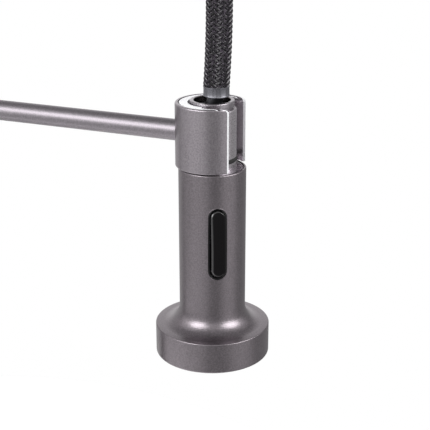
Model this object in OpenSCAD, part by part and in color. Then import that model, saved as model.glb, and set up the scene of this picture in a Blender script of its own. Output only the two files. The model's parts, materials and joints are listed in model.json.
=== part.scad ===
// Pull-down kitchen faucet: a deck-mounted single-lever mixer whose hose runs up a column,
// over a spring arch and down to a spray head docked in a clip arm.
// Sizes are in millimetres. The origin is on the column's axis at the deck's top face,
// +Z points up and the sink lies towards -Y.

/* [Layout] */
// Distance from the column's axis to the spray head's axis
reach = 210; // [200:1:225]
// Height of the spray face above the deck
outlet_h = 170; // [165:1:175]
// Height of the arch's two springing points
spring_line = 412; // [400:1:430]
// How far the hose leans outwards between the spray head and the arch
hose_lean = 3.5; // [3:0.1:4]

/* [Spray head] */
// Radius of the round foot
foot_r = 27.8; // [27:0.1:30]
// Height of the foot
foot_h = 15.4; // [14.5:0.1:16]
// Radius of the grip
grip_r = 16; // [15.8:0.1:16.5]
// Radius of the hollow that joins the foot and the grip
flare_r = 9; // [8:0.1:10]
// Height of the grip's shoulder above the spray face
shoulder_h = 94.8; // [94:0.1:95.2]
// Radius of the neck
neck_r = 11.4; // [11.2:0.1:11.5]
// Height of the neck's lip above the spray face
lip_h = 126.9; // [126:0.1:128]
// Radius of the neck's lip
lip_r = 10.4; // [10.2:0.1:10.6]
// Radius of the hole in the neck
neck_bore_r = 8.5; // [8.2:0.1:9]

/* [Spray button] */
// Direction that the button faces, in degrees from +X
button_azimuth = 211.4; // [0:0.1:360]
// Height of the button's middle above the spray face
button_h = 61.1; // [60:0.1:62]
// Length of the slot in the grip
slot_len = 36; // [35:0.1:37]
// Width of the slot in the grip
slot_w = 9.1; // [9:0.1:9.6]
// Length of the rocking button
rocker_len = 32.5; // [31:0.1:33]
// Width of the rocking button
rocker_w = 6.9; // [6:0.1:7]
// Tilt of the button with its upper end pressed
rocker_tilt = 5; // [4:0.5:5]

/* [Dock] */
// Outer radius of the clip
clip_r = 16.8; // [16.5:0.1:18]
// Height of the clip
clip_h = 30.4; // [30:0.1:31]
// Half the width of the clip's mouth
clip_mouth = 10.6; // [10.2:0.1:10.8]
// Radius of the arm that carries the clip
arm_r = 5.05; // [4.5:0.05:5.5]
// Inner radius of the white liner
liner_bore_r = 12.1; // [12:0.1:12.3]
// Inner radius of the liner's top flange
liner_flange_r = 10.9; // [10.8:0.1:11.2]

/* [Column] */
// Radius of the column
column_r = 12.5; // [12:0.1:13]
// Top of the column tube
column_top = 396; // [388:1:398]
// Radius of the arm's collar
collar_r = 17; // [16:0.5:18]
// Outer radius of the spring
spring_r = 13.5; // [13:0.1:13.7]
// Radius of the spring's wire
wire_r = 1.5; // [1.3:0.1:1.6]
// Radius of the braided hose
hose_r = 6.15; // [6:0.05:6.2]

/* [Mixer body] */
// Radius of the body
body_r = 23; // [22:0.5:25]
// Top of the body
body_top = 117; // [116:1:119]
// Height of the cartridge's axis
cartridge_h = 62; // [58:1:64]
// Distance from the column's axis to the lever's pivot
pivot_x = 46; // [46:0.5:46.5]
// Radius of the base flange
flange_r = 28; // [27:0.5:32]

/* [Lever] */
// Outer radius of the round lever cap
cap_r = 23.4; // [23:0.1:24]
// Radius of the lever bar
lever_bar_r = 4; // [3.5:0.1:4.2]
// Length of the lever bar
lever_bar_len = 92; // [80:1:110]
// Outward lean of the lever bar
lever_lean = 8; // [0:1:12]

/* [Deck fixing] */
// Radius of the threaded shank
shank_r = 16; // [15.8:0.1:16.2]
// Length of the shank below the deck
shank_len = 62; // [58:1:80]
// Gap left for the deck between the gasket and the rubber washer
deck_gap = 21; // [18:1:24]

/* [Hidden] */
$fn = 96;
eps = 0.01;
run_gap = 0.05;      // radial clearance of a running fit

arch_r = (reach + hose_lean) / 2;
clip_shift = 0.6;    // clip's centre, from the head's axis towards the column
clip_z = 95.4;       // clip's underside above the spray face
arm_z = 110.5;       // arm's axis above the spray face
clip_bore_r = clip_r - 1.4;
jaw_y = -2;          // back of the clip's jaws, from the clip's centre
jaw_r = 14;
plate_t = 0.7;       // thickness of the plate at the front of each jaw
mouth_corner = 2;    // rounding at the mouth's corners
trim_r = 15.9;       // inner radius of the trim on the mouth's edges
trim_t = 0.6;
collar_len = 32;

// spray head
shell_wall = 1.8;
core_r = 13.9;
shell_bore_r = 14.4;
spool_r = 4.5;
spigot_r = 5.6;
rocker_pivot = 11.5;
rocker_face = 6.5;
rocker_arm = 9.2;
crown_r = 90;
pin_r = 1.2;
nut_r = 7.5;
tail_r = 4;
nozzle_rings = [[21, 22], [17.2, 18], [13.6, 14]];
nozzle_r = 0.9;
aerator_r = 10.4;

// hose and arch
ferrule_r = 6.2;
ferrule_lean = 2.1;
ferrule_z = [128.8, 133.7];
bend_z = 172;        // height above the spray face where the hose turns upright
end_collar = [spring_line - 28, spring_line - 6];
seat_collar = [column_top - 14, column_top + 10];
cup_r = 14;
hose_bore_r = 4;
hose_gap = 0.15;

// mixer body
boss_r = 19.8;
boss_end = pivot_x - 4.5;
cavity_r = 17.5;
cavity_floor = 26;
spigot_outer_r = 12;
body_bore_r = spigot_outer_r + run_gap;
foot_ring_r = 19.9;
inlet_y = 7;
inlet_r = 4.5;
inlet_mouth = 14;
outlet_z = 9;        // outlet port above the cartridge's axis
dome_r = 20;
dome_half_angle = 48;
cap_bore_r = 20.5;
cap_rim = 6;         // cap's rim beyond the pivot
stem_r = 3.8;
ball_arm = 10;
ball_r = 2;
carrier_r = 14.4;
bar_foot = [14, 18.3];

// ---------- helpers ----------

// Points of an arc, angles in degrees
function arc(c, r, a0, a1, n = 8) =
    [for (i = [0:n]) let (a = a0 + (a1 - a0) * i / n) [c[0] + r * cos(a), c[1] + r * sin(a)]];

// Tube between two heights
module tube(r_out, r_in, z0, z1) {
    translate([0, 0, z0]) difference() {
        cylinder(r = r_out, h = z1 - z0);
        translate([0, 0, -1]) cylinder(r = r_in, h = z1 - z0 + 2);
    }
}

// Disc between two heights
module disc(r, z0, z1) {
    translate([0, 0, z0]) cylinder(r = r, h = z1 - z0);
}

// Tube whose outer edges are rounded
module soft_tube(r_out, r_in, z0, z1, edge) {
    rotate_extrude() polygon(concat(
        [[r_in, z0]],
        arc([r_out - edge, z0 + edge], edge, -90, 0, 6),
        arc([r_out - edge, z1 - edge], edge, 0, 90, 6),
        [[r_in, z1]]
    ));
}

// Copies around the Z axis
module around(count, r) {
    for (i = [0:count - 1]) rotate([0, 0, i * 360 / count]) translate([r, 0, 0]) children();
}

// Outline with two round ends, its length along X
module capsule(len, w) {
    square([len - w, w], center = true);
    for (s = [-1, 1]) translate([s * (len - w) / 2, 0]) circle(d = w);
}

// Upright capsule-shaped prism that runs from x0 to x1 outwards from the Z axis
module button_prism(len, w, x0, x1) {
    translate([x0, 0, 0]) rotate([0, 90, 0]) linear_extrude(x1 - x0) capsule(len, w);
}

// Rod of radius r lying along X from x0 to x1
module x_rod(r, x0, x1) {
    translate([x0, 0, 0]) rotate([0, 90, 0]) cylinder(r = r, h = x1 - x0);
}

// Rod of radius r lying along Y from y0 to y1
module y_rod(r, y0, y1) {
    translate([0, y0, 0]) rotate([-90, 0, 0]) cylinder(r = r, h = y1 - y0);
}

// Grub screw along +Y with a hexagon socket in its outer end
module grub(r, y0, y1) {
    difference() {
        y_rod(r, y0, y1);
        translate([0, y1 - 1.6, 0]) rotate([-90, 0, 0]) cylinder(r = r * 0.55, h = 3, $fn = 6);
    }
}

// Places on the faucet
module at_head() { translate([0, -reach, outlet_h]) children(); }
module at_clip() { translate([0, clip_shift - reach, outlet_h]) children(); }
module at_button() { at_head() rotate([0, 0, button_azimuth]) translate([0, 0, button_h]) children(); }
module at_outer_leg() { translate([0, -2 * arch_r, 0]) children(); }
module at_cartridge() { translate([0, 0, cartridge_h]) rotate([0, 90, 0]) children(); }
module at_pivot() { translate([pivot_x, 0, cartridge_h]) children(); }

// ---------- deck fixing ----------

module base_gasket() {
    color("black") tube(flange_r - 1.5, shank_r + 0.5, 0, 1.5);
}

module base_flange() {
    edge = 3.2;
    color("dimgray") rotate_extrude() polygon(concat(
        [[foot_ring_r, 1.5], [flange_r, 1.5]],
        arc([flange_r - edge, 7 - edge], edge, 0, 90, 10),
        [[foot_ring_r, 7]]
    ));
}

module shank() {
    color("goldenrod") tube(shank_r, shank_r - 2, -shank_len, inlet_mouth);
}

module deck_rubber_washer() {
    color("black") tube(26, shank_r + 0.3, -deck_gap - 3, -deck_gap);
}

module deck_steel_washer() {
    color("silver") tube(25, shank_r + 0.3, -deck_gap - 5, -deck_gap - 3);
}

module mounting_nut() {
    top = -deck_gap - 5;
    color("goldenrod") difference() {
        translate([0, 0, top - 10]) cylinder(r = 25, h = 10, $fn = 8);
        translate([0, 0, top - 11]) cylinder(r = shank_r, h = 12);
        for (s = [-1, 1]) translate([s * 20, 0, top - 11]) cylinder(r = 2.5, h = 12);
    }
}

module nut_screws() {
    top = -deck_gap - 5;
    color("silver") for (s = [-1, 1]) translate([s * 20, 0, 0]) {
        difference() {
            union() {
                disc(2.5, top - 26, top);
                disc(3.8, top - 30, top - 26);
            }
            disc(1.8, top - 31, top - 28, $fn = 6);
        }
    }
}

// ---------- mixer body and cartridge ----------

module body_shell() {
    edge = 1.5;
    color("dimgray") difference() {
        union() {
            disc(foot_ring_r, 1.5, 7);
            rotate_extrude() polygon(concat(
                [[0, 7], [body_r, 7]],
                arc([body_r - edge, body_top - edge], edge, 0, 90, 8),
                [[0, body_top]]
            ));
            at_cartridge() disc(boss_r, 0, boss_end);
        }
        disc(shank_r, 0, inlet_mouth);
        for (s = [-1, 1]) translate([0, s * inlet_y, 0]) {
            disc(inlet_r, inlet_mouth - eps, inlet_mouth + 12);
            disc(2.8, inlet_mouth, cartridge_h);
            translate([0, 0, cartridge_h]) x_rod(2.8, 0, cavity_floor + 1);
        }
        translate([0, 0, cartridge_h + outlet_z]) {
            x_rod(2.8, 0, cavity_floor + 1);
            disc(2.8, 0, 40);
        }
        disc(body_bore_r, 92, body_top + 1);
        at_cartridge() disc(cavity_r, cavity_floor, boss_end + 1);
        translate([0, 0, 112]) y_rod(2.5, 0, body_r + 1);
    }
}

// Centres of the three water ports around the cartridge's axis, as world Y and Z
ports = [[-inlet_y, 0], [inlet_y, 0], [0, outlet_z]];

module at_ports() {
    for (p = ports) translate([0, p[0], cartridge_h + p[1]]) children();
}

module cartridge_seals() {
    color("black") at_ports() rotate([0, 90, 0]) tube(3.9, 2.9, cavity_floor, cavity_floor + 1);
}

module cartridge_body() {
    color("gainsboro") difference() {
        at_cartridge() disc(cavity_r - 0.2, cavity_floor + 1, 41);
        at_cartridge() disc(carrier_r + 0.1, 30, 39.6);
        at_cartridge() disc(9.2, 39, 42);
        at_ports() x_rod(2.8, cavity_floor, 31);
    }
}

module ceramic_disc_fixed() {
    color("white") difference() {
        at_cartridge() disc(carrier_r, 30, 33);
        at_ports() x_rod(2.6, 29, 34);
    }
}

module ceramic_disc_moving() {
    color("whitesmoke") difference() {
        at_cartridge() disc(9.6, 33.1, 36.6);
        at_cartridge() disc(ball_r + 0.3, 33.8, 37);
        at_cartridge() tube(8, 4, 33, 33.8);
    }
}

module stem_carrier() {
    color("slategray") difference() {
        at_cartridge() union() {
            disc(carrier_r, 36.9, 39.4);
            disc(9.1, 39, pivot_x + 2.4);
        }
        at_cartridge() translate([-7.3, -stem_r - 0.25, 36]) cube([14.6, 2 * stem_r + 0.5, 20]);
        at_pivot() y_rod(1.5, -9, 9);
    }
}

module stem_pin() {
    color("silver") at_pivot() y_rod(1.5, -8, 8);
}

module cartridge_nut() {
    color("goldenrod") at_cartridge() difference() {
        tube(cavity_r, 12.5, 41, 43.5);
        around(6, 15) disc(1.2, 42, 44);
    }
}

module bonnet() {
    color("dimgray") at_pivot() rotate([0, 90, 0]) difference() {
        sphere(r = dome_r);
        sphere(r = dome_r - 1.8);
        translate([0, 0, -60 + boss_end - pivot_x]) cube(120, center = true);
        translate([0, 0, dome_r * cos(dome_half_angle)]) cylinder(r = 30, h = 20);
    }
}

// ---------- lever ----------

module lever_stem() {
    color("silver") at_pivot() difference() {
        union() {
            translate([-ball_arm, 0, 0]) sphere(r = ball_r);
            x_rod(1.7, -ball_arm, -5);
            x_rod(stem_r, -5, 18);
        }
        y_rod(1.5 + run_gap, -6, 6);
        x_rod(2, 10, 19);
    }
}

module lever_cap() {
    color("dimgray") difference() {
        at_pivot() union() {
            rotate([0, 90, 0]) difference() {
                sphere(r = cap_r);
                sphere(r = cap_bore_r);
                translate([0, 0, -60 + cap_rim]) cube(120, center = true);
            }
            x_rod(5.2, 12, 21);
        }
        at_pivot() x_rod(stem_r, 11, 18);
        at_pivot() x_rod(2, 17, 22);
        at_pivot() x_rod(4.6, 20.4, 24);
        lever_axis() disc(lever_bar_r, -10, 20);
    }
}

// The lever bar's own axis, leaning out from the cap
module lever_axis() {
    at_pivot() translate([bar_foot[0], 0, bar_foot[1]]) rotate([0, lever_lean, 0]) children();
}

module lever_bar() {
    edge = 1.2;
    color("dimgray") lever_axis() rotate_extrude() polygon(concat(
        [[0, 0], [lever_bar_r, 0]],
        arc([lever_bar_r - edge, lever_bar_len - edge], edge, 0, 90, 6),
        [[0, lever_bar_len]]
    ));
}

module lever_screw() {
    color("silver") at_pivot() difference() {
        union() {
            x_rod(2, 10.5, 20.4);
            x_rod(3.6, 20.4, 22.2);
        }
        translate([21.2, 0, 0]) rotate([0, 90, 0]) cylinder(r = 1.6, h = 2, $fn = 6);
    }
}

module lever_plug() {
    color("black") at_pivot() x_rod(4.6, 22.4, cap_r);
}

// ---------- swivel and column ----------

module swivel_washer() {
    color("black") tube(body_r - 0.8, body_bore_r + 0.3, body_top, body_top + 1);
}

module retaining_screw() {
    color("silver") translate([0, 0, 112]) union() {
        grub(2.5, spigot_outer_r + 0.6, body_r - 0.6);
        y_rod(1.4, 10.6, 14);
    }
}

module swivel_sleeve() {
    base = body_top + 1.2;
    shoulder = base + 6;
    neck = column_r + 2;
    fillet = body_r - neck - 1;
    color("dimgray") difference() {
        rotate_extrude() polygon(concat(
            [[8, 92.5], [spigot_outer_r, 92.5], [spigot_outer_r, base], [body_r, base]],
            arc([body_r - 1, shoulder - 1], 1, 0, 90, 6),
            arc([body_r - 1, shoulder + fillet], fillet, 270, 180, 12),
            arc([neck - 1, 149], 1, 0, 90, 6),
            [[column_r, 150], [column_r, 124], [8, 124]]
        ));
        for (z = [96, 103]) tube(spigot_outer_r + 1, 10.2, z, z + 2.4);
        tube(spigot_outer_r + 1, 10, 109.8, 114.2);
    }
}

module swivel_o_rings() {
    color("black") for (z = [96, 103]) tube(spigot_outer_r, 10.2, z, z + 2.4);
}

module column_tube() {
    color("dimgray") tube(column_r, column_r - 2, 124, column_top);
}

module arm_collar() {
    mid = outlet_h + arm_z;
    color("dimgray") difference() {
        soft_tube(collar_r, column_r, mid - collar_len / 2, mid + collar_len / 2, 1);
        translate([0, 0, mid]) y_rod(2.5, 10, collar_r + 1);
    }
}

module arm_set_screw() {
    color("silver") translate([0, 0, outlet_h + arm_z]) grub(2.5, column_r, collar_r - 0.6);
}

module spring_seat_collar() {
    color("dimgray") difference() {
        soft_tube(spring_r + 2, hose_r + hose_gap, seat_collar[0], seat_collar[1], 1);
        disc(column_r, seat_collar[0] - 1, column_top);
        disc(cup_r, column_top + 2, seat_collar[1] + 1);
        translate([0, 0, seat_collar[0] + 7]) y_rod(2, 10, 20);
    }
}

module seat_collar_screw() {
    color("silver") translate([0, 0, seat_collar[0] + 7]) grub(2, column_r, spring_r + 1.4);
}

module hose_tail_nut() {
    color("goldenrod") difference() {
        disc(column_r - 2, column_top - 16, column_top);
        disc(hose_bore_r, column_top - 17, column_top + 1);
    }
}

// ---------- dock ----------

module dock_arm() {
    color("dimgray") translate([0, 0, outlet_h + arm_z]) difference() {
        y_rod(arm_r, clip_shift - reach, 0);
        translate([0, 0, -20]) cylinder(r = collar_r, h = 40);
        translate([0, clip_shift - reach, -20]) cylinder(r = clip_r, h = 40);
    }
}

// Outline of the clip's mouth, with the metal's upper corners rounded by corner
module mouth_outline(half, corner) {
    square([2 * half, clip_h + 2], center = true);
    for (side = [-1, 1]) scale([side, 1]) translate([half - eps, clip_h / 2 - corner])
        difference() {
            square(corner + 1);
            translate([corner + eps, 0]) circle(r = corner);
        }
}

// Prism of the clip's mouth, from the clip's centre outwards
module mouth(half, corner) {
    translate([0, 0, clip_z + clip_h / 2]) rotate([90, 0, 0]) linear_extrude(clip_r + 5)
        mouth_outline(half, corner);
}

// Rim of the mouth, as thick as wrap
module mouth_rim(wrap) {
    difference() {
        mouth(clip_mouth + wrap, mouth_corner);
        mouth(clip_mouth, mouth_corner);
    }
}

// Space behind the mouth that the clip's jaws take up
module jaw_zone(grow) {
    translate([-clip_r, -clip_r, clip_z]) cube([2 * clip_r, clip_r + jaw_y + grow, clip_h]);
}

// Ring that fits in the clip, with a flange at its top
module lining() {
    lip_seat_r = clip_bore_r - 0.7;
    top = clip_z + clip_h - 0.1;
    rotate_extrude() polygon([
        [liner_bore_r, clip_z + 0.2], [lip_seat_r, clip_z + 0.2], [lip_seat_r, clip_z + 1.6],
        [clip_bore_r, clip_z + 1.6], [clip_bore_r, top - 1.5], [lip_seat_r, top - 1.5],
        [lip_seat_r, top], [liner_flange_r, top], [liner_flange_r, top - 1.8],
        [liner_bore_r, top - 1.8]
    ]);
}

// Clip whose solid jaws are joined to its shell by a plate at the mouth
module dock_clip() {
    color("dimgray") at_clip() difference() {
        union() {
            soft_tube(clip_r, clip_bore_r, clip_z, clip_z + clip_h, 0.7);
            intersection() {
                lining();
                disc(jaw_r, clip_z, clip_z + clip_h);
                jaw_zone(0);
            }
            intersection() {
                tube(clip_bore_r + 0.2, liner_bore_r, clip_z + 0.4, clip_z + clip_h - 0.4);
                mouth_rim(plate_t);
                jaw_zone(0);
            }
        }
        mouth(clip_mouth, mouth_corner);
        intersection() {
            tube(clip_r + 1, trim_r, clip_z - 1, clip_z + clip_h + 1);
            mouth_rim(trim_t);
        }
    }
}

module clip_trim() {
    color("white") at_clip() intersection() {
        soft_tube(clip_r, trim_r, clip_z, clip_z + clip_h, 0.7);
        mouth_rim(trim_t);
    }
}

module clip_liner() {
    color("white") at_clip() difference() {
        lining();
        mouth(clip_mouth + plate_t + run_gap, mouth_corner);
        intersection() {
            disc(jaw_r + 0.1, clip_z - 1, clip_z + clip_h);
            jaw_zone(0.1);
        }
    }
}

// ---------- hose and arch ----------

// Bent tube along the arch: a straight leg at each end and a half circle between them
module arch_tube(r_out, r_in, inner_z, outer_z) {
    tube(r_out, r_in, inner_z, spring_line);
    at_outer_leg() tube(r_out, r_in, outer_z, spring_line);
    translate([0, -arch_r, spring_line]) rotate([90, 0, 90]) rotate_extrude(angle = 180)
        translate([arch_r, 0]) difference() {
            circle(r = r_out);
            circle(r = r_in);
        }
}

module arch_hose() {
    color("black") arch_tube(hose_r, hose_bore_r, column_top, end_collar[0] + 4.3);
}

module arch_spring() {
    color("gray") arch_tube(spring_r, spring_r - 2 * wire_r, column_top + 2, end_collar[0] + 6.3);
}

module spring_end_collar() {
    color("dimgray") at_outer_leg() difference() {
        soft_tube(spring_r + 2, hose_r + hose_gap, end_collar[0], end_collar[1], 1);
        disc(cup_r, end_collar[0] + 6, end_collar[1] + 1);
        translate([0, 0, end_collar[0] + 3]) y_rod(1.5, 5, 20);
    }
}

module end_collar_screw() {
    color("silver") at_outer_leg() translate([0, 0, end_collar[0] + 3])
        grub(1.5, hose_r, spring_r + 1.4);
}

// Hose from the ferrule up to the end collar, leaning at first and then upright
module hose_lead() {
    rise = bend_z - ferrule_z[1];
    turn = 2 * atan((hose_lean - ferrule_lean) / rise);
    bend_r = rise / sin(turn);
    color("black") union() {
        at_head() intersection() {
            translate([0, bend_r - hose_lean, bend_z]) rotate([90, 0, 90]) rotate([0, 0, 180])
                rotate_extrude(angle = turn + 1, $fn = 720) translate([bend_r, 0]) difference() {
                    circle(r = hose_r, $fn = 96);
                    circle(r = hose_bore_r, $fn = 96);
                }
            disc(20, ferrule_z[1], bend_z);
        }
        at_outer_leg() tube(hose_r, hose_bore_r, outlet_h + bend_z, end_collar[0] + 4);
    }
}

module hose_ferrule() {
    color("gray") at_head() translate([0, -ferrule_lean, 0])
        soft_tube(ferrule_r, 0, ferrule_z[0], ferrule_z[1], 0.4);
}

// Swivelling end of the hose: a flanged tail in the nut and a short neck up to the ferrule
module hose_tail() {
    bend = 124.5;
    rise = ferrule_z[0] - bend;
    color("silver") at_head() union() {
        disc(tail_r + 1.3, 109.6, 113.6);
        disc(tail_r, 109.6, bend);
        intersection() {
            translate([0, 0, bend - 1]) rotate([atan(ferrule_lean / (rise + 1)), 0, 0])
                cylinder(r = 3.6, h = rise + 4);
            disc(12, bend - 1, ferrule_z[0]);
        }
    }
}

// ---------- spray head ----------

module spray_shell() {
    edge = 0.8;
    brow = 0.5;
    rim = 0.6;
    top_z = foot_h + flare_r;
    color("dimgray") difference() {
        at_head() rotate_extrude() polygon(concat(
            [[foot_r - shell_wall, 0]],
            arc([foot_r - edge, edge], edge, -90, 0, 6),
            arc([foot_r - brow, foot_h - 0.2 - brow], brow, 0, 82, 8),
            arc([grip_r + flare_r, top_z], flare_r, 270, 180, 18),
            arc([grip_r - rim, shoulder_h - rim], rim, 0, 90, 6),
            [[15, shoulder_h], [15, shoulder_h - 2], [shell_bore_r, shoulder_h - 2]],
            arc([grip_r + flare_r, top_z], grip_r + flare_r - shell_bore_r, 180, 264, 18),
            [[foot_r - shell_wall, foot_h - 3]]
        ));
        at_button() button_prism(slot_len, slot_w, 8, 20);
    }
}

module spray_neck() {
    edge = 0.5;
    seat = shoulder_h - 2;
    top = 123.2;
    lip_z = top + 1.4;
    color("dimgray") at_head() difference() {
        rotate_extrude() polygon(concat(
            [[spigot_r, seat], [15, seat], [15, seat + 1.2], [14.3, seat + 1.2]],
            [[14.3, shoulder_h - 0.1], [neck_r, shoulder_h - 0.1]],
            arc([neck_r - edge, top - edge], edge, 0, 90, 5),
            [[lip_r - edge, top], [lip_r - edge, lip_z]],
            arc([lip_r - 0.2, lip_z + 0.2], 0.2, -90, 0, 3),
            arc([lip_r - edge, lip_h - edge], edge, 0, 90, 5),
            arc([neck_bore_r + edge, lip_h - edge], edge, 90, 180, 5),
            [[neck_bore_r, 98], [spigot_r, 98]]
        ));
        tube(neck_r + 1, neck_r - 1.2, 98.1, 100.3);
    }
}

module neck_ring() {
    color("black") at_head() soft_tube(neck_r + 0.15, neck_r - 1.2, 98.1, 100.3, 0.5);
}

module hose_nut() {
    color("gray") at_head() difference() {
        soft_tube(nut_r, spigot_r, 99, 124.2, 0.6);
        around(20, nut_r + 0.35) disc(0.7, 102, 122);
    }
    color("gray") at_head() tube(spigot_r, tail_r + run_gap, 114, 123.2);
}

module filter_washer() {
    color("black") at_head() tube(5.2, 2.5, 108, 109.2);
}

module check_valve() {
    color("white") at_head() difference() {
        disc(spool_r, 85, 92);
        around(6, 2.6) disc(0.8, 84, 93);
    }
}

module inner_core() {
    color("darkslategray") difference() {
        at_head() union() {
            disc(25.4, 6.5, 11.2);
            disc(core_r, 11, shoulder_h - 2.1);
            disc(spigot_r, 90, 108);
        }
        at_head() disc(22, 6, 9);
        at_head() disc(3, 8, 109);
        at_head() disc(spool_r + run_gap, 30, 92);
        at_button() button_prism(36.6, 9.6, 6.5, 20);
        at_button() button_prism(10, 4.6, 0, 8);
        at_button() translate([rocker_pivot, 0, 0]) y_rod(pin_r, -6.5, 6.5);
    }
}

module rocker_bezel() {
    color("black") at_button() difference() {
        button_prism(slot_len, slot_w, 14, 15.2);
        button_prism(slot_len - 1.8, slot_w - 1.5, 13, 16);
    }
}

module rocker() {
    color("black") at_button() translate([rocker_pivot, 0, 0]) rotate([0, -rocker_tilt, 0])
        difference() {
            union() {
                intersection() {
                    button_prism(rocker_len, rocker_w, -3, rocker_face);
                    translate([rocker_face - crown_r, 0, 0]) y_rod(crown_r, -10, 10);
                }
                x_rod(1.4, -rocker_arm, -2);
            }
            y_rod(pin_r + run_gap, -6, 6);
        }
}

module rocker_pin() {
    color("silver") at_button() translate([rocker_pivot, 0, 0]) y_rod(pin_r, -6.4, 6.4);
}

module diverter_spool() {
    groove = button_h - rocker_arm * sin(rocker_tilt);
    color("ivory") at_head() difference() {
        disc(spool_r, 42, 82);
        tube(spool_r + 1, 2, groove - 1.9, groove + 1.9);
        disc(1.2, 41, 83);
    }
}

module diverter_spring() {
    color("silver") at_head() tube(4.1, 3.3, 30, 42);
}

module face_gasket() {
    color("black") at_head() tube(25.4, 22.5, 5, 6.5);
}

module face_ring() {
    color("dimgray") at_head() soft_tube(25.9, 24, 0.3, 5, 0.3);
}

module spray_face() {
    color("dimgray") at_head() difference() {
        disc(24, 0.8, 5);
        disc(aerator_r, 0, 6);
        for (ring = nozzle_rings) around(ring[1], ring[0]) disc(nozzle_r, 0, 6);
    }
}

module spray_nozzles() {
    color("black") at_head() for (ring = nozzle_rings) around(ring[1], ring[0])
        tube(nozzle_r, 0.4, 0.3, 5.5);
}

module aerator_body() {
    color("silver") at_head() soft_tube(aerator_r, 8.4, 0.4, 9, 0.4);
}

module aerator_screen() {
    pitch = 1.7;
    color("gray") at_head() difference() {
        disc(8.4, 1.6, 2.6);
        for (row = [-4:4], col = [-4:4]) translate([row * pitch, col * pitch, 1])
            if (norm([row, col]) * pitch < 7.4) cylinder(r = 0.65, h = 2);
    }
}

// ---------- one line per node ----------

base_gasket();
base_flange();
body_shell();
shank();
deck_rubber_washer();
deck_steel_washer();
mounting_nut();
nut_screws();
cartridge_seals();
cartridge_body();
ceramic_disc_fixed();
ceramic_disc_moving();
stem_carrier();
stem_pin();
cartridge_nut();
bonnet();
lever_stem();
lever_cap();
lever_bar();
lever_screw();
lever_plug();
swivel_washer();
retaining_screw();
swivel_sleeve();
swivel_o_rings();
column_tube();
arm_collar();
arm_set_screw();
dock_arm();
dock_clip();
clip_trim();
clip_liner();
spring_seat_collar();
seat_collar_screw();
hose_tail_nut();
arch_hose();
arch_spring();
spring_end_collar();
end_collar_screw();
hose_lead();
hose_ferrule();
hose_tail();
spray_shell();
spray_neck();
neck_ring();
hose_nut();
filter_washer();
check_valve();
inner_core();
rocker_bezel();
rocker();
rocker_pin();
diverter_spool();
diverter_spring();
face_gasket();
face_ring();
spray_face();
spray_nozzles();
aerator_body();
aerator_screen();
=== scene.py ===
"""Looks for the pull-down kitchen faucet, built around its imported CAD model. Lengths are in metres."""
import json
import math

import bmesh
import bpy
import numpy as np
from mathutils import Matrix, Vector


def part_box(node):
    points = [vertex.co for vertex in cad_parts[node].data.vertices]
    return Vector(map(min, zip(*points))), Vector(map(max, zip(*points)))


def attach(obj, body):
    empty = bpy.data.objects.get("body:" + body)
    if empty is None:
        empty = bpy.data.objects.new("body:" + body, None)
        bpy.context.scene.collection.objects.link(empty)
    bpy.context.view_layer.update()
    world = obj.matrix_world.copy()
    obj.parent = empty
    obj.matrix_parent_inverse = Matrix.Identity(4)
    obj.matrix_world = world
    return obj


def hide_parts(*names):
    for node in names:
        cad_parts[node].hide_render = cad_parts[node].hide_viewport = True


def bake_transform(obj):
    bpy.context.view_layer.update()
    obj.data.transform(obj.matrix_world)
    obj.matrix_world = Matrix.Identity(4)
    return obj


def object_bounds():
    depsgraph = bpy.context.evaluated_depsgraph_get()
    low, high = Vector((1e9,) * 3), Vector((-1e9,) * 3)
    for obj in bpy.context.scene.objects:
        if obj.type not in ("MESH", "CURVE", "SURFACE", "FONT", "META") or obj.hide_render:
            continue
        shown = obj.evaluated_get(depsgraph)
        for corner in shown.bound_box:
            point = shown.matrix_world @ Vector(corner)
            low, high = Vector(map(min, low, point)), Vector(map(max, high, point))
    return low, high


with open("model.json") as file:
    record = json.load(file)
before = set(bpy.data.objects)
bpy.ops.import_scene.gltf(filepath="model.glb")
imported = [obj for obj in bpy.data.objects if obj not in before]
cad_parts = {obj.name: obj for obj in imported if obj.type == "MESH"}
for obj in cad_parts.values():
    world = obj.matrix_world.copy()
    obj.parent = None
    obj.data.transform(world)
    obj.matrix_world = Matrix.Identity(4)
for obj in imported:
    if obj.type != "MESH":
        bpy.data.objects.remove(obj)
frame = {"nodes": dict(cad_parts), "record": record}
cad_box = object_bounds()
MM = 0.001


# ---------- places taken from the frame ----------

def middle(node):
    """Centre of a CAD node's box."""
    low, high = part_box(node)
    return (low + high) / 2


HEAD = middle("spray_neck")          # the spray head's axis
HEAD_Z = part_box("spray_shell")[0].z  # height of the spray face
FLOOR_Z = cad_box[0].z - 0.5 * MM


# ---------- camera ----------

CAMERA_AWAY = 493.8 * MM      # horizontal distance from the head's axis
CAMERA_UP = 249.7 * MM        # height above the spray face
CAMERA_AZIMUTH = math.radians(-67.5)
CAMERA_PITCH = 0.3485
CAMERA_YAW = 0.0026
CAMERA_LENS = 92.15


def make_camera():
    """The photograph's viewpoint: beside the spray head, looking down at it."""
    towards = Vector((math.sin(CAMERA_AZIMUTH), -math.cos(CAMERA_AZIMUTH), 0))
    place = Vector((HEAD.x, HEAD.y, HEAD_Z + CAMERA_UP)) + towards * CAMERA_AWAY
    level = Matrix.Rotation(-CAMERA_YAW, 3, "Z") @ -towards
    ahead = level * math.cos(CAMERA_PITCH) - Vector((0, 0, math.sin(CAMERA_PITCH)))
    right = ahead.cross(Vector((0, 0, 1))).normalized()
    up = right.cross(ahead)
    data = bpy.data.cameras.new("camera")
    data.lens = CAMERA_LENS
    data.sensor_width = 36
    data.clip_start = 0.01
    camera = bpy.data.objects.new("camera", data)
    camera.matrix_world = Matrix.Translation(place) @ Matrix((right, up, -ahead)).transposed().to_4x4()
    bpy.context.scene.collection.objects.link(camera)
    bpy.context.scene.camera = camera


make_camera()


# ---------- material helpers ----------

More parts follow.
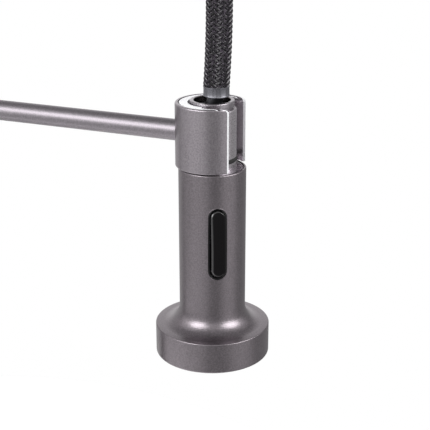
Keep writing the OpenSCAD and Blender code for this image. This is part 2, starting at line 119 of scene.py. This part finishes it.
class Shader:
    """A material with a Principled shader and short calls for its nodes."""

    def __init__(self, name, colour, roughness, metallic=0.0, **sockets):
        self.material = bpy.data.materials.new(name)
        self.material.use_nodes = True
        self.tree = self.material.node_tree
        self.shader = self.tree.nodes["Principled BSDF"]
        self.set("Base Color", (*colour, 1))
        self.set("Roughness", roughness)
        self.set("Metallic", metallic)
        for socket, value in sockets.items():
            self.set(socket.replace("_", " "), value)
        self.material.diffuse_color = (*colour, 1)

    def set(self, socket, value):
        self.shader.inputs[socket].default_value = value

    def link(self, output, socket):
        self.tree.links.new(output, self.shader.inputs[socket])

    def node(self, kind, inputs=None, **settings):
        made = self.tree.nodes.new(kind)
        for key, value in settings.items():
            setattr(made, key, value)
        for key, value in (inputs or {}).items():
            socket = made.inputs[key]
            if isinstance(value, bpy.types.NodeSocket):
                self.tree.links.new(value, socket)
            else:
                socket.default_value = value
        return made

    def place(self):
        return self.node("ShaderNodeTexCoord").outputs["Object"]

    def noise(self, scale, detail=3.0, roughness=0.55, vector=None):
        inputs = {"Scale": scale, "Detail": detail, "Roughness": roughness, "Vector": vector or self.place()}
        return self.node("ShaderNodeTexNoise", inputs).outputs["Fac"]

    def remap(self, value, low, high, to_low, to_high):
        inputs = {"Value": value, "From Min": low, "From Max": high, "To Min": to_low, "To Max": to_high}
        return self.node("ShaderNodeMapRange", inputs).outputs["Result"]

    def blend(self, factor, first, second):
        made = self.node("ShaderNodeMix", data_type="RGBA")
        for socket, value in ((made.inputs[0], factor), (made.inputs[6], first), (made.inputs[7], second)):
            if isinstance(value, bpy.types.NodeSocket):
                self.tree.links.new(value, socket)
            elif socket == made.inputs[0]:
                socket.default_value = value
            else:
                socket.default_value = (*value, 1)
        return made.outputs[2]

    def bump(self, height, strength, distance):
        inputs = {"Height": height, "Strength": strength, "Distance": distance}
        self.link(self.node("ShaderNodeBump", inputs).outputs["Normal"], "Normal")


def tint(colour, factor):
    """The colour made darker or paler by a factor."""
    return tuple(min(1.0, c * factor) for c in colour)


# ---------- materials ----------

def gunmetal(name="gunmetal", colour=(0.228, 0.205, 0.221), roughness=0.34):
    """Bead-blasted plated metal: a fine grain in colour, gloss and relief."""
    made = Shader(name, colour, roughness, metallic=1.0)
    grain = made.noise(1500, 3, 0.6)
    cloud = made.noise(45, 2)
    fine = made.blend(made.remap(grain, 0.35, 0.65, 0, 1), tint(colour, 0.82), tint(colour, 1.2))
    made.link(made.blend(made.remap(cloud, 0.3, 0.7, 0, 0.25), fine, tint(colour, 1.1)), "Base Color")
    made.link(made.remap(grain, 0.3, 0.7, roughness - 0.05, roughness + 0.05), "Roughness")
    made.bump(made.noise(2600, 2, 0.5), 0.25, 0.03 * MM)
    return made.material


def plain_metal(name, colour, roughness):
    """Turned metal with a little variation in gloss."""
    made = Shader(name, colour, roughness, metallic=1.0)
    cloud = made.noise(220, 4)
    made.link(made.blend(cloud, tint(colour, 0.85), tint(colour, 1.1)), "Base Color")
    made.link(made.remap(cloud, 0.3, 0.7, roughness - 0.07, roughness + 0.07), "Roughness")
    made.bump(made.noise(1800, 2), 0.2, 0.02 * MM)
    return made.material


def plastic(name, colour, roughness, bump=0.15, **sockets):
    """Moulded plastic or rubber with a faint texture."""
    made = Shader(name, colour, roughness, **sockets)
    cloud = made.noise(90, 3)
    made.link(made.blend(cloud, tint(colour, 0.9), tint(colour, 1.08)), "Base Color")
    made.link(made.remap(cloud, 0.3, 0.7, roughness * 0.85, roughness * 1.15), "Roughness")
    made.bump(made.noise(2200, 2), bump, 0.02 * MM)
    return made.material


def nylon_braid():
    """Glossy black nylon yarn with paler, shinier flecks."""
    made = Shader("braid", (0.02, 0.018, 0.022), 0.25, Specular_IOR_Level=0.6)
    fleck = made.noise(1100, 3, 0.6)
    pale = made.remap(fleck, 0.48, 0.68, 0, 1)
    made.link(made.blend(pale, (0.005, 0.004, 0.006), (0.078, 0.063, 0.084)), "Base Color")
    made.link(made.remap(fleck, 0.3, 0.7, 0.34, 0.16), "Roughness")
    made.bump(made.noise(2400, 2), 0.3, 0.03 * MM)
    return made.material


def make_materials():
    """One material for each of the record's material slots."""
    return {
        "gunmetal": gunmetal(),
        "spring_steel": gunmetal("spring_steel", (0.25, 0.23, 0.24), 0.30),
        "steel": plain_metal("steel", (0.55, 0.55, 0.56), 0.28),
        "brass": plain_metal("brass", (0.62, 0.47, 0.23), 0.32),
        "ferrule_steel": plain_metal("ferrule_steel", (0.21, 0.21, 0.23), 0.44),
        "black_gloss": plastic("black_gloss", (0.005, 0.0045, 0.005), 0.16, 0.03, Specular_IOR_Level=0.12),
        "black_plastic": plastic("black_plastic", (0.012, 0.012, 0.013), 0.42),
        "white_plastic": plastic("white_plastic", (0.80, 0.80, 0.82), 0.36, 0.06),
        "grey_plastic": plastic("grey_plastic", (0.22, 0.23, 0.25), 0.45),
        "rubber": plastic("rubber", (0.012, 0.012, 0.012), 0.6, 0.25),
        "braid": nylon_braid(),
        "ceramic": plastic("ceramic", (0.82, 0.81, 0.77), 0.2, 0.03),
    }


MATERIALS = make_materials()
for part in frame["record"]["subparts"]:
    shown = frame["nodes"][part["node"]]
    shown.data.materials.clear()
    shown.data.materials.append(MATERIALS[part["material_slot"]])

# Painted light: the dock's gunmetal is a paler copy of the head's, standing in for light its jaws and inner
# faces lack
DOCK_METAL_PAINTED_LIGHT = gunmetal("gunmetal_dock", (0.332, 0.304, 0.328), 0.33)
ARM_METAL = gunmetal("gunmetal_arm", (0.25, 0.23, 0.25), 0.43)
# Radii between which the neck's painted colour changes: painted shade down its bore and painted light on its
# outside
NECK_BORE_EDGE = (8.6 * MM, 8.9 * MM)
NECK_PAINTED_LIGHT_EDGE = (10.9 * MM, 11.1 * MM)


def neck_metal():
    """The neck's outside is painted paler as painted light, and its bore is painted near black as painted
    shade.
    """
    made = Shader("gunmetal_neck", (0.50, 0.47, 0.50), 0.3, metallic=1.0)
    apart = made.node("ShaderNodeSeparateXYZ", {"Vector": made.place()}).outputs
    flat = made.node("ShaderNodeCombineXYZ", {"X": apart["X"], "Y": apart["Y"]}).outputs["Vector"]
    axis = made.node("ShaderNodeVectorMath", operation="DISTANCE")
    made.tree.links.new(flat, axis.inputs[0])
    axis.inputs[1].default_value = (HEAD.x, HEAD.y, 0)
    radius = axis.outputs["Value"]
    grain = made.remap(made.noise(1500, 3, 0.6), 0.35, 0.65, 0, 1)
    # Painted light: the outside of the neck is painted paler, standing in for light that reaches it
    painted_light = made.blend(grain, (0.42, 0.39, 0.42), (0.58, 0.55, 0.58))
    plated = made.blend(grain, (0.30, 0.28, 0.30), (0.40, 0.37, 0.40))
    outer = made.blend(made.remap(radius, *NECK_PAINTED_LIGHT_EDGE, 0, 1), plated, painted_light)
    past_bore = made.remap(radius, *NECK_BORE_EDGE, 0, 1)
    # Painted shade: inside the bore radius the colour is near black
    made.link(made.blend(past_bore, (0.04, 0.036, 0.036), outer), "Base Color")
    made.link(made.remap(grain, 0, 1, 0.26, 0.36), "Roughness")
    made.bump(made.noise(2600, 2, 0.5), 0.25, 0.03 * MM)
    return made.material


# Painted shade: the hose tail and the rocker pin, which sit in recesses, get a darkened metal for the shade
# there
PAINTED_SHADE_METAL = plain_metal("metal_painted_shade", (0.10, 0.10, 0.11), 0.4)
for name, finish in (("dock_clip", DOCK_METAL_PAINTED_LIGHT), ("dock_arm", ARM_METAL), ("spray_neck", neck_metal()),
                     ("hose_tail", PAINTED_SHADE_METAL), ("rocker_pin", PAINTED_SHADE_METAL)):
    frame["nodes"][name].data.materials[0] = finish


# ---------- mesh helpers ----------

def make_object(name, points, faces, material, smooth_angle=40):
    """A mesh object made of world points, shaded smooth up to the given angle."""
    mesh = bpy.data.meshes.new(name)
    mesh.from_pydata([tuple(p) for p in points], [], faces)
    made = bmesh.new()
    made.from_mesh(mesh)
    bmesh.ops.recalc_face_normals(made, faces=made.faces)
    made.to_mesh(mesh)
    made.free()
    mesh.shade_smooth()
    mesh.set_sharp_from_angle(angle=math.radians(smooth_angle))
    mesh.materials.append(MATERIALS[material])
    shown = bpy.data.objects.new(name, mesh)
    bpy.context.scene.collection.objects.link(shown)
    return shown


def swept(rings):
    """Points and faces of closed tubes: rings is an array of (tubes, steps, corners, 3)."""
    tubes, steps, corners, _ = rings.shape
    index = np.arange(tubes * steps * corners).reshape(tubes, steps, corners)
    after = np.roll(index, -1, axis=2)
    quads = np.stack((index[:, :-1], after[:, :-1], after[:, 1:], index[:, 1:]), axis=-1).reshape(-1, 4)
    faces = quads.tolist()
    for tube in index:
        faces.append(tube[0][::-1].tolist())
        faces.append(tube[-1].tolist())
    return rings.reshape(-1, 3), faces


class Path:
    """A centre line with a steady frame across it, sampled by distance."""

    def __init__(self, points):
        self.points = np.array(points)
        steps = np.diff(self.points, axis=0)
        self.at = np.concatenate(([0], np.cumsum(np.linalg.norm(steps, axis=1))))
        self.length = self.at[-1]
        ahead = np.gradient(self.points, self.at, axis=0)
        self.ahead = ahead / np.linalg.norm(ahead, axis=1)[:, None]

    def frame(self, distance):
        """Centre and the two directions across the line; the line lies in a plane of constant X."""
        centre = np.stack([np.interp(distance, self.at, self.points[:, k]) for k in range(3)], axis=-1)
        ahead = np.stack([np.interp(distance, self.at, self.ahead[:, k]) for k in range(3)], axis=-1)
        side = np.broadcast_to(np.array((1.0, 0.0, 0.0)), ahead.shape)
        return centre, side, np.cross(ahead, side), ahead

    def around(self, distance, angle, radius):
        """Points at an angle and a radius round the line."""
        centre, side, other, _ = self.frame(distance)
        out = np.cos(angle)[..., None] * side + np.sin(angle)[..., None] * other
        return centre + radius[..., None] * out


def braid(path, radius, lead, strands, yarns, steps_per_turn):
    """Points and faces of two sets of flat strands, each over two and then under two of the other set."""
    steps = int(path.length / lead * steps_per_turn) + 2
    along = np.linspace(0, path.length, steps)
    strand_width = math.tau / strands * BRAID_COVER
    corner = np.linspace(-0.5, 0.5, 2 * yarns + 1)
    humps = np.where(np.arange(2 * yarns + 1) % 2, 1.0, 0.0) * BRAID_HUMP
    bulge = humps + np.cos(corner * math.pi) * BRAID_CROWN
    across = np.concatenate((corner, corner[[-1, 0]] * BRAID_TAPER))
    lift = np.concatenate((bulge, [-BRAID_THICK, -BRAID_THICK]))
    rings = []
    for hand in (1, -1):
        for first in np.arange(strands) * math.tau / strands:
            turn = first + hand * math.tau * along / lead
            angle = turn[:, None] + across[None, :] * strand_width
            wave = BRAID_LIFT * np.tanh(BRAID_STEP * np.sin(strands / 2 * turn + math.pi / 4)) * hand
            lifted = radius + wave[:, None] + lift[None, :]
            rings.append(path.around(along[:, None] + 0 * angle, angle, lifted))
    return swept(np.array(rings))


def tube_along(path, radius, corners=24, spacing=2.0 * MM):
    """Points and faces of a solid rod along a path."""
    along = np.linspace(0, path.length, int(path.length / spacing) + 2)
    angle = np.arange(corners) * math.tau / corners
    grid = along[:, None] + 0 * angle[None, :]
    return swept(path.around(grid, angle[None, :] + 0 * grid, np.full(grid.shape, radius))[None])


def join(*parts):
    """One set of points and faces out of several."""
    points, faces = [], []
    for part_points, part_faces in parts:
        offset = sum(len(p) for p in points)
        points.append(np.array(part_points))
        faces += [[i + offset for i in face] for face in part_faces]
    return np.concatenate(points), faces


# ---------- hose and arch spring ----------

BRAID_STRANDS = 14           # in each direction
BRAID_LEAD = 32.4 * MM
BRAID_COVER = 0.9            # share of the way round that the strands of one direction cover
BRAID_LIFT = 0.26 * MM       # how far a strand rises where it passes over
BRAID_STEP = 1.8             # how sharply it rises
BRAID_CROWN = 0.14 * MM      # rounding across a strand
BRAID_HUMP = 0.16 * MM       # how far the yarns that make up a strand stand out
BRAID_THICK = 0.35 * MM
BRAID_TAPER = 0.9            # width of a strand's inner face, as a share of its outer one
HOSE_R = (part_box("arch_hose")[1].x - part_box("arch_hose")[0].x) / 2
BRAID_R = HOSE_R - BRAID_LIFT - BRAID_HUMP - BRAID_CROWN
CORE_R = BRAID_R - 0.45 * MM
COLUMN_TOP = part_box("column_tube")[1].z
COLLAR_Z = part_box("spring_end_collar")[0].z
ARCH_R = (middle("arch_hose").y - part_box("arch_hose")[0].y) - HOSE_R
ARCH_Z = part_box("arch_hose")[1].z - HOSE_R - ARCH_R
LEG_Y = -2 * ARCH_R
UPRIGHT_FROM = 172 * MM      # height above the spray face where the hose turns upright
WIRE_R = 1.5 * MM
OPEN_PITCH = 5.0 * MM        # over the arch
CLOSE_PITCH = 2 * WIRE_R + 0.05 * MM   # at the spring's two ends


def arch_path(first_z, last_z):
    """Centre line of the arch from the column over to the outer leg."""
    turn = np.linspace(0, math.pi, 181)
    over = [(0, ARCH_R * (math.cos(t) - 1), ARCH_Z + ARCH_R * math.sin(t)) for t in turn]
    return Path([(0, 0, first_z)] + over + [(0, LEG_Y, last_z)])


def lead_path():
    """Centre line of the hose from the ferrule up to the end collar: a slight bend, then upright."""
    low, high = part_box("hose_lead")
    lean = middle("hose_ferrule").y
    rise = HEAD_Z + UPRIGHT_FROM - low.z
    points = []
    for share in np.linspace(0, 1, 40):
        sweep = 1 - (1 - share) ** 2
        points.append((0, lean + (LEG_Y - lean) * sweep, low.z + rise * share))
    return Path(points + [(0, LEG_Y, high.z)])


def make_hose(name, path, yarns, steps_per_turn):
    """A stretch of hose: a braid with so many yarns to a strand, over a dark core."""
    skin = braid(path, BRAID_R, BRAID_LEAD, BRAID_STRANDS, yarns, steps_per_turn)
    return make_object(name, *join(skin, tube_along(path, CORE_R)), "braid", 60)


def make_hose_lead():
    """The hose between the spray head and the arch."""
    hose_lead = make_hose("hose_lead_braid", lead_path(), yarns=4, steps_per_turn=96)
    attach(hose_lead, "hose_end")
    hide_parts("hose_lead")


def make_arch_hose():
    """The hose inside the arch's spring."""
    path = arch_path(COLUMN_TOP + 0.5 * MM, COLLAR_Z + 4.5 * MM)
    return make_hose("arch_hose_braid", path, yarns=2, steps_per_turn=40)


def make_spring():
    """The coil over the arch, its end turns wound close."""
    low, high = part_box("arch_spring")
    radius = (high.x - low.x) / 2 - WIRE_R
    path = arch_path(COLUMN_TOP + 2 * MM + WIRE_R, COLLAR_Z + 6.4 * MM + WIRE_R)
    steps_per_turn = 36
    wire_sides = 10
    close_turns = 1.2            # at each end, before the coil starts to open
    opening_turns = 3            # open turns' length over which it opens
    samples = 6000
    fine = np.linspace(0, path.length, samples)
    near_end = np.minimum(fine, path.length - fine)
    opening = np.clip((near_end - close_turns * CLOSE_PITCH) / (opening_turns * OPEN_PITCH), 0, 1)
    local = CLOSE_PITCH + (OPEN_PITCH - CLOSE_PITCH) * opening
    phase = np.concatenate(([0], np.cumsum(np.diff(fine) * math.tau / ((local[1:] + local[:-1]) / 2))))
    steps = int(phase[-1] / math.tau * steps_per_turn)
    turn = np.linspace(0, phase[-1], steps)
    along = np.interp(turn, phase, fine)
    centre, side, other, ahead = path.frame(along)
    out = np.cos(turn)[:, None] * side + np.sin(turn)[:, None] * other
    section = np.arange(wire_sides) * math.tau / wire_sides
    wire_at = centre + radius * out
    ring = (wire_at[:, None, :] + WIRE_R * (np.cos(section)[None, :, None] * out[:, None, :]
                                            + np.sin(section)[None, :, None] * ahead[:, None, :]))
    return make_object("arch_spring_coil", *swept(ring[None]), "spring_steel", 60)


def bend_with_arch(piece, node):
    """Hide the arch's CAD node and bake the piece's placement into its mesh."""
    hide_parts(node)
    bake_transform(piece)


# ---------- spray button ----------

BUTTON_TURN = math.radians(211.4)   # direction that the button faces, from +X
BUTTON_OUT = Vector((math.cos(BUTTON_TURN), math.sin(BUTTON_TURN), 0))
BUTTON_SIDE = Vector((-math.sin(BUTTON_TURN), math.cos(BUTTON_TURN), 0))
BUTTON_Z = middle("rocker_bezel").z
GRIP_R = 16 * MM
SLOT = (36 * MM, 9.1 * MM)
ROCKER = (32.5 * MM, 7.0 * MM)
ROCKER_PIVOT = 11.5 * MM
ROCKER_FACE = 6.5 * MM
ROCKER_TILT = math.radians(5)
ROCKER_CROWN = 90 * MM
ROCKER_ASIDE = 0.35 * MM   # play of the rocker in its slot, taken up on one side


def at_button(out, across, up):
    """World point from its distance outwards, across and above the button's middle."""
    return Vector((HEAD.x, HEAD.y, BUTTON_Z)) + BUTTON_OUT * out + BUTTON_SIDE * across + Vector((0, 0, up))


def capsule(length, width, steps=20):
    """Outline with two round ends: (across, up) points, all the way round."""
    reach, radius = (length - width) / 2, width / 2
    top = [(radius * math.cos(t), reach + radius * math.sin(t)) for t in np.linspace(0, math.pi, steps + 1)]
    side = [(-radius, up) for up in np.linspace(reach, -reach, 25)[1:-1]]
    low = [(radius * math.cos(t), -reach + radius * math.sin(t))
           for t in np.linspace(math.pi, math.tau, steps + 1)]
    other = [(radius, up) for up in np.linspace(-reach, reach, 25)[1:-1]]
    return top + side + low + other


# A shinier black, used as a painted highlight on one side of the rocker's edge
PAINTED_HIGHLIGHT_BLACK = plastic("black_painted_highlight_edge", (0.012, 0.011, 0.012), 0.2, 0.02, Specular_IOR_Level=1.0)


def make_rocker():
    """The button: a crowned bar with a soft edge, its upper end pressed in; its edge carries a painted
    highlight on the side turned left and up.
    """
    edge = 0.9 * MM
    depth = 9.5 * MM
    edge_steps = 6
    # Rings from the foot up over the edge to the middle: distance in from the outline, and below the face
    bend = np.radians(np.linspace(0, 90, edge_steps + 1))
    rings = [(edge * (1 - math.cos(t)), edge * (1 - math.sin(t))) for t in bend]
    rings = [(0, depth)] + rings + [(edge + 0.8 * MM, 0), (ROCKER[1] / 2 - 0.05 * MM, 0)]
    points, faces = [], []
    count = len(capsule(*ROCKER))
    for inset, below in rings:
        for across, up in capsule(ROCKER[0] - 2 * inset, ROCKER[1] - 2 * inset):
            crown = ROCKER_CROWN - math.sqrt(ROCKER_CROWN ** 2 - up ** 2)
            out = ROCKER_FACE - crown - below
            turned = (out * math.cos(ROCKER_TILT) - up * math.sin(ROCKER_TILT),
                      up * math.cos(ROCKER_TILT) + out * math.sin(ROCKER_TILT))
            points.append(at_button(ROCKER_PIVOT + turned[0], across + ROCKER_ASIDE, turned[1]))
    for ring in range(len(rings) - 1):
        for i in range(count):
            j = (i + 1) % count
            faces.append((ring * count + i, ring * count + j, (ring + 1) * count + j, (ring + 1) * count + i))
    faces.append(tuple(range(count)))
    faces.append(tuple(range((len(rings) - 1) * count, len(rings) * count)))
    rocker = make_object("rocker_soft_edge", points, faces, "black_gloss", 50)
    rocker.data.materials.append(PAINTED_HIGHLIGHT_BLACK)
    # Painted highlight: only the edge faces turned left or up get the shinier black
    for face in rocker.data.polygons:
        on_edge = count <= face.index < (edge_steps + 1) * count
        if on_edge and face.normal.dot(BUTTON_SIDE) < 0.1:
            face.material_index = 1
    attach(rocker, "spray_button")
    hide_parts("rocker")


def make_slot_ring(name, length, width, radius, thickness, material):
    """A round bead that follows a capsule outline on a cylinder round the grip's axis."""
    outline = np.array([at_button(math.sqrt(radius ** 2 - across ** 2), across, up)
                        for across, up in capsule(length, width, 28)])
    ahead = np.roll(outline, -1, axis=0) - np.roll(outline, 1, axis=0)
    ahead /= np.linalg.norm(ahead, axis=1)[:, None]
    out = outline - np.array((HEAD.x, HEAD.y, 0))
    out[:, 2] = 0
    out /= np.linalg.norm(out, axis=1)[:, None]
    side = np.cross(ahead, out)
    turn = np.arange(8) * math.tau / 8
    ring = (outline[:, None, :] + thickness * (np.cos(turn)[None, :, None] * out[:, None, :]
                                               + np.sin(turn)[None, :, None] * side[:, None, :]))
    steps, corners, _ = ring.shape
    index = np.arange(steps * corners).reshape(steps, corners)
    quads = np.stack((index, np.roll(index, -1, 0), np.roll(np.roll(index, -1, 0), -1, 1),
                      np.roll(index, -1, 1)), axis=-1).reshape(-1, 4)
    made = make_object(name, ring.reshape(-1, 3), quads.tolist(), material, 80)
    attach(made, "spray_head")


make_rocker()
make_slot_ring("slot_edge", SLOT[0], SLOT[1], GRIP_R - 0.13 * MM, 0.2 * MM, "gunmetal")
make_slot_ring("bezel_inner_edge", SLOT[0] - 1.6 * MM, SLOT[1] - 1.3 * MM, 15.1 * MM, 0.3 * MM,
               "black_gloss")
make_slot_ring("bezel_outer_edge", SLOT[0] - 0.5 * MM, SLOT[1] - 0.5 * MM, 15.0 * MM, 0.22 * MM,
               "black_gloss")


# ---------- hose ferrule and shank ----------

CRIMPS = 16
CRIMP_DEPTH = 0.09 * MM


def make_ferrule():
    """The crimped ferrule: a faceted sleeve between two rolled edges."""
    low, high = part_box("hose_ferrule")
    centre = (low + high) / 2
    radius = (high.x - low.x) / 2
    tall = high.z - low.z
    heights = np.array([0, 0.04, 0.10, 0.14, 0.17, 0.5, 0.83, 0.87, 0.92, 0.97, 1.0])
    inset = np.array([0.2, 0.05, 0.05, 0.12, 0.18, 0.2, 0.18, 0.10, 0.05, 0.08, 0.4]) * MM
    sides = 192
    turn = np.arange(sides) * math.tau / sides
    crimp = CRIMP_DEPTH * (0.5 - 0.5 * np.cos(turn * CRIMPS))
    rings = []
    for share, step in zip(heights, inset):
        r = radius - step - (crimp if 0.13 < share < 0.9 else 0 * crimp)
        rings.append(np.stack((centre.x + r * np.cos(turn), centre.y + r * np.sin(turn),
                               np.full(turn.shape, low.z + share * tall)), axis=-1))
    ferrule = make_object("ferrule_crimped", *swept(np.array(rings)[None]), "ferrule_steel", 50)
    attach(ferrule, "hose_end")
    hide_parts("hose_ferrule")


THREAD_PITCH = 1.5 * MM
THREAD_DEPTH = 0.8 * MM
SHANK_WALL = 2 * MM


def make_shank():
    """The shank with its helical V thread, chamfered at both ends, and its plain bore."""
    low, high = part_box("shank")
    sides = 120
    steps_per_pitch = 8
    turn = np.arange(sides) * math.tau / sides
    heights = np.linspace(low.z, high.z, int((high.z - low.z) / THREAD_PITCH * steps_per_pitch) + 1)
    phase = (heights[:, None] / THREAD_PITCH + turn[None, :] / math.tau) % 1
    from_end = np.minimum(heights - low.z, high.z - heights)[:, None]
    groove = np.maximum(THREAD_DEPTH * np.abs(2 * phase - 1), THREAD_DEPTH - from_end)
    radius = high.x - groove
    bore = np.full((1, len(turn)), high.x - SHANK_WALL)
    radius = np.concatenate((bore, radius, bore))
    heights = np.concatenate((heights[:1], heights, heights[-1:]))[:, None]
    points = np.stack((radius * np.cos(turn), radius * np.sin(turn), heights + 0 * radius), axis=-1)
    index = np.arange(radius.size).reshape(radius.shape)
    above, beside = np.roll(index, -1, axis=0), np.roll(index, -1, axis=1)
    quads = np.stack((index, beside, np.roll(above, -1, axis=1), above), axis=-1).reshape(-1, 4)
    shank = make_object("shank_threaded", points.reshape(-1, 3), quads.tolist(), "brass", 35)
    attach(shank, "mixer_body")
    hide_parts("shank")


make_ferrule()
make_shank()
make_hose_lead()
bend_with_arch(make_arch_hose(), "arch_hose")
bend_with_arch(make_spring(), "arch_spring")


# ---------- studio ----------

def compass(azimuth, elevation):
    """Unit vector; azimuth is counted as for the camera, 0 at -Y and -90 at -X."""
    a, e = math.radians(azimuth), math.radians(elevation)
    return Vector((math.sin(a) * math.cos(e), -math.cos(a) * math.cos(e), math.sin(e)))


FLOOR_R = 0.32


def make_floor():
    """A plain pale disc under the faucet."""
    mesh = bpy.data.meshes.new("floor")
    sides = 96
    turns = [i * math.tau / sides for i in range(sides)]
    rim = [(FLOOR_R * math.cos(t), FLOOR_R * math.sin(t), FLOOR_Z) for t in turns]
    mesh.from_pydata(rim, [], [tuple(range(sides))])
    floor = bpy.data.objects.new("floor", mesh)
    bpy.context.scene.collection.objects.link(floor)
    made = Shader("floor", (0.93, 0.93, 0.93), 0.6)
    mesh.materials.append(made.material)


# Soft panels of light round the object: azimuth, elevation, inner and outer half angle, brightness
PANELS = [
    (-112, -16, 8, 40, 0.49),
    (-8, -16, 8, 36, 0.51),
    (-64, 38, 8, 30, 0.50),
    (175, 0, 30, 65, 0.35),
    (112, 12, 10, 36, 0.95),
    (-160, 30, 8, 36, 0.60),
    (32, 30, 6, 30, 0.60),
]
AMBIENT = 0.45


def make_world():
    """White behind the faucet, and soft panels of light in what it reflects."""
    world = bpy.data.worlds.new("studio")
    bpy.context.scene.world = world
    world.use_nodes = True
    tree = world.node_tree
    tree.nodes.clear()

    def node(kind, inputs=(), **settings):
        made = tree.nodes.new(kind)
        for key, value in settings.items():
            setattr(made, key, value)
        for index, value in enumerate(inputs):
            if isinstance(value, bpy.types.NodeSocket):
                tree.links.new(value, made.inputs[index])
            elif value is not None:
                made.inputs[index].default_value = value
        return made

    direction = node("ShaderNodeTexCoord").outputs["Generated"]
    total = node("ShaderNodeValue").outputs[0]
    total.default_value = AMBIENT
    for azimuth, elevation, inner, outer, brightness in PANELS:
        dot = node("ShaderNodeVectorMath", (direction, compass(azimuth, elevation)), operation="DOT_PRODUCT")
        rim, core = math.cos(math.radians(outer)), math.cos(math.radians(inner))
        fade = (dot.outputs["Value"], rim, core, 0.0, brightness)
        patch = node("ShaderNodeMapRange", fade, interpolation_type="SMOOTHSTEP")
        total = node("ShaderNodeMath", (total, patch.outputs["Result"]), operation="ADD").outputs[0]
    studio = node("ShaderNodeBackground", (None, total))
    white = node("ShaderNodeBackground", ((1, 1, 1, 1), 1.0))
    seen = node("ShaderNodeLightPath").outputs["Is Camera Ray"]
    mix = node("ShaderNodeMixShader", (seen, studio.outputs[0], white.outputs[0]))
    output = node("ShaderNodeOutputWorld")
    tree.links.new(mix.outputs[0], output.inputs["Surface"])


def make_lamp(name, azimuth, elevation, distance, width, height, power):
    """An oval soft light, aimed between the column and the spray head."""
    data = bpy.data.lights.new(name, "AREA")
    data.shape = "ELLIPSE"
    data.size = width
    data.size_y = height
    data.energy = power
    lamp = bpy.data.objects.new(name, data)
    aim = Vector((0, HEAD.y / 2, HEAD_Z))
    lamp.location = aim + compass(azimuth, elevation) * distance
    lamp.rotation_mode = "QUATERNION"
    lamp.rotation_quaternion = (aim - lamp.location).to_track_quat("-Z", "Y")
    lamp.visible_camera = False
    bpy.context.scene.collection.objects.link(lamp)
    return lamp


make_floor()
make_world()
make_lamp("key_lamp", -113, 31, 1.6, 1.5, 0.9, 19)
make_lamp("fill_lamp", -5, 28, 1.6, 1.4, 0.8, 16)
make_lamp("top_lamp", 100, 80, 1.8, 1.2, 1.2, 14).visible_glossy = False
bpy.context.scene.view_settings.view_transform = "Standard"
